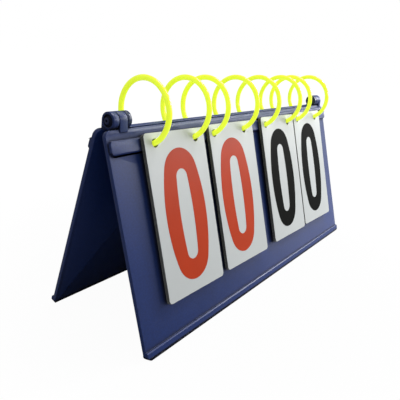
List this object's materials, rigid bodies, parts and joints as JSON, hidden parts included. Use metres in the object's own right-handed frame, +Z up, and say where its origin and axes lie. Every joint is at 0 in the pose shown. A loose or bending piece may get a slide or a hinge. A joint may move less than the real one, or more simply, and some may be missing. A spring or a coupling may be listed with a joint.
{
  "type": "tabletop flip scoreboard",
  "caption": "Folding A-frame scoreboard with stacks of flip-over number cards hung on plastic rings, for keeping score at a table or court side.",
  "frame": {"origin": "middle of the footprint at table level, below the hinge axis", "axes": "+X along the board to the viewer's right, -Y towards the side that shows the score, +Z up"},
  "size_m": [0.38, 0.1188, 0.2008],
  "materials": {
    "panel_plastic": "fine moulded grain, satin navy blue",
    "pin_plastic": "smooth, dark navy",
    "ring_plastic": "glossy fluorescent yellow-green",
    "card_plastic": "satin white sheet",
    "ink_red": "printed red ink",
    "ink_black": "printed black ink"
  },
  "bodies": {
    "front_panel": {"front_panel": "panel_plastic", "right_hinge_pin": "pin_plastic", "card_1_1": "card_plastic", "card_1_2": "card_plastic", "card_1_3": "card_plastic", "card_1_4": "card_plastic", "card_1_5": "card_plastic", "card_1_6": "card_plastic", "card_1_7": "card_plastic", "card_1_8": "card_plastic", "card_1_9": "card_plastic", "card_2_1": "card_plastic", "card_2_2": "card_plastic", "card_2_3": "card_plastic", "card_2_4": "card_plastic", "card_2_5": "card_plastic", "card_2_6": "card_plastic", "card_2_7": "card_plastic", "card_2_8": "card_plastic", "card_2_9": "card_plastic", "card_3_1": "card_plastic", "card_3_2": "card_plastic", "card_3_3": "card_plastic", "card_3_4": "card_plastic", "card_3_5": "card_plastic", "card_3_6": "card_plastic", "card_3_7": "card_plastic", "card_3_8": "card_plastic", "card_3_9": "card_plastic", "card_4_1": "card_plastic", "card_4_2": "card_plastic", "card_4_3": "card_plastic", "card_4_4": "card_plastic", "card_4_5": "card_plastic", "card_4_6": "card_plastic", "card_4_7": "card_plastic", "card_4_8": "card_plastic", "card_4_9": "card_plastic"},
    "rear_panel": {"rear_panel": "panel_plastic", "left_hinge_pin": "pin_plastic"},
    "ring_1": {"ring_1": "ring_plastic"},
    "ring_2": {"ring_2": "ring_plastic"},
    "ring_3": {"ring_3": "ring_plastic"},
    "ring_4": {"ring_4": "ring_plastic"},
    "ring_5": {"ring_5": "ring_plastic"},
    "ring_6": {"ring_6": "ring_plastic"},
    "ring_7": {"ring_7": "ring_plastic"},
    "ring_8": {"ring_8": "ring_plastic"},
    "front_card_1": {"card_1_0": "card_plastic", "digit_1_0": "ink_red"},
    "front_card_2": {"card_2_0": "card_plastic", "digit_2_0": "ink_red"},
    "front_card_3": {"card_3_0": "card_plastic", "digit_3_0": "ink_black"},
    "front_card_4": {"card_4_0": "card_plastic", "digit_4_0": "ink_black"}
  },
  "joints": [
    {"name": "fold", "type": "hinge", "parent": "front_panel", "child": "rear_panel", "pos_m": [0, 0, 0.16852], "axis": [1, 0, 0], "range_deg": [-35.2, 5]},
    {"name": "flip_1", "type": "hinge", "parent": "front_panel", "child": "front_card_1", "pos_m": [-0.12325, -0.0025, 0.17352], "axis": [-1, 0, 0], "range_deg": [0, 270]},
    {"name": "flip_2", "type": "hinge", "parent": "front_panel", "child": "front_card_2", "pos_m": [-0.04585, -0.0025, 0.17352], "axis": [-1, 0, 0], "range_deg": [0, 270]},
    {"name": "flip_3", "type": "hinge", "parent": "front_panel", "child": "front_card_3", "pos_m": [0.04765, -0.0025, 0.17352], "axis": [-1, 0, 0], "range_deg": [0, 270]},
    {"name": "flip_4", "type": "hinge", "parent": "front_panel", "child": "front_card_4", "pos_m": [0.12325, -0.0025, 0.17352], "axis": [-1, 0, 0], "range_deg": [0, 270]},
    {"name": "turn_ring_1", "type": "hinge", "parent": "front_panel", "child": "ring_1", "pos_m": [-0.148, -0.0025, 0.17352], "axis": [1, 0, 0], "continuous": true},
    {"name": "turn_ring_2", "type": "hinge", "parent": "front_panel", "child": "ring_2", "pos_m": [-0.0985, -0.0025, 0.17352], "axis": [1, 0, 0], "continuous": true},
    {"name": "turn_ring_3", "type": "hinge", "parent": "front_panel", "child": "ring_3", "pos_m": [-0.0706, -0.0025, 0.17352], "axis": [1, 0, 0], "continuous": true},
    {"name": "turn_ring_4", "type": "hinge", "parent": "front_panel", "child": "ring_4", "pos_m": [-0.0211, -0.0025, 0.17352], "axis": [1, 0, 0], "continuous": true},
    {"name": "turn_ring_5", "type": "hinge", "parent": "front_panel", "child": "ring_5", "pos_m": [0.0229, -0.0025, 0.17352], "axis": [1, 0, 0], "continuous": true},
    {"name": "turn_ring_6", "type": "hinge", "parent": "front_panel", "child": "ring_6", "pos_m": [0.0724, -0.0025, 0.17352], "axis": [1, 0, 0], "continuous": true},
    {"name": "turn_ring_7", "type": "hinge", "parent": "front_panel", "child": "ring_7", "pos_m": [0.0985, -0.0025, 0.17352], "axis": [1, 0, 0], "continuous": true},
    {"name": "turn_ring_8", "type": "hinge", "parent": "front_panel", "child": "ring_8", "pos_m": [0.148, -0.0025, 0.17352], "axis": [1, 0, 0], "continuous": true}
  ]
}
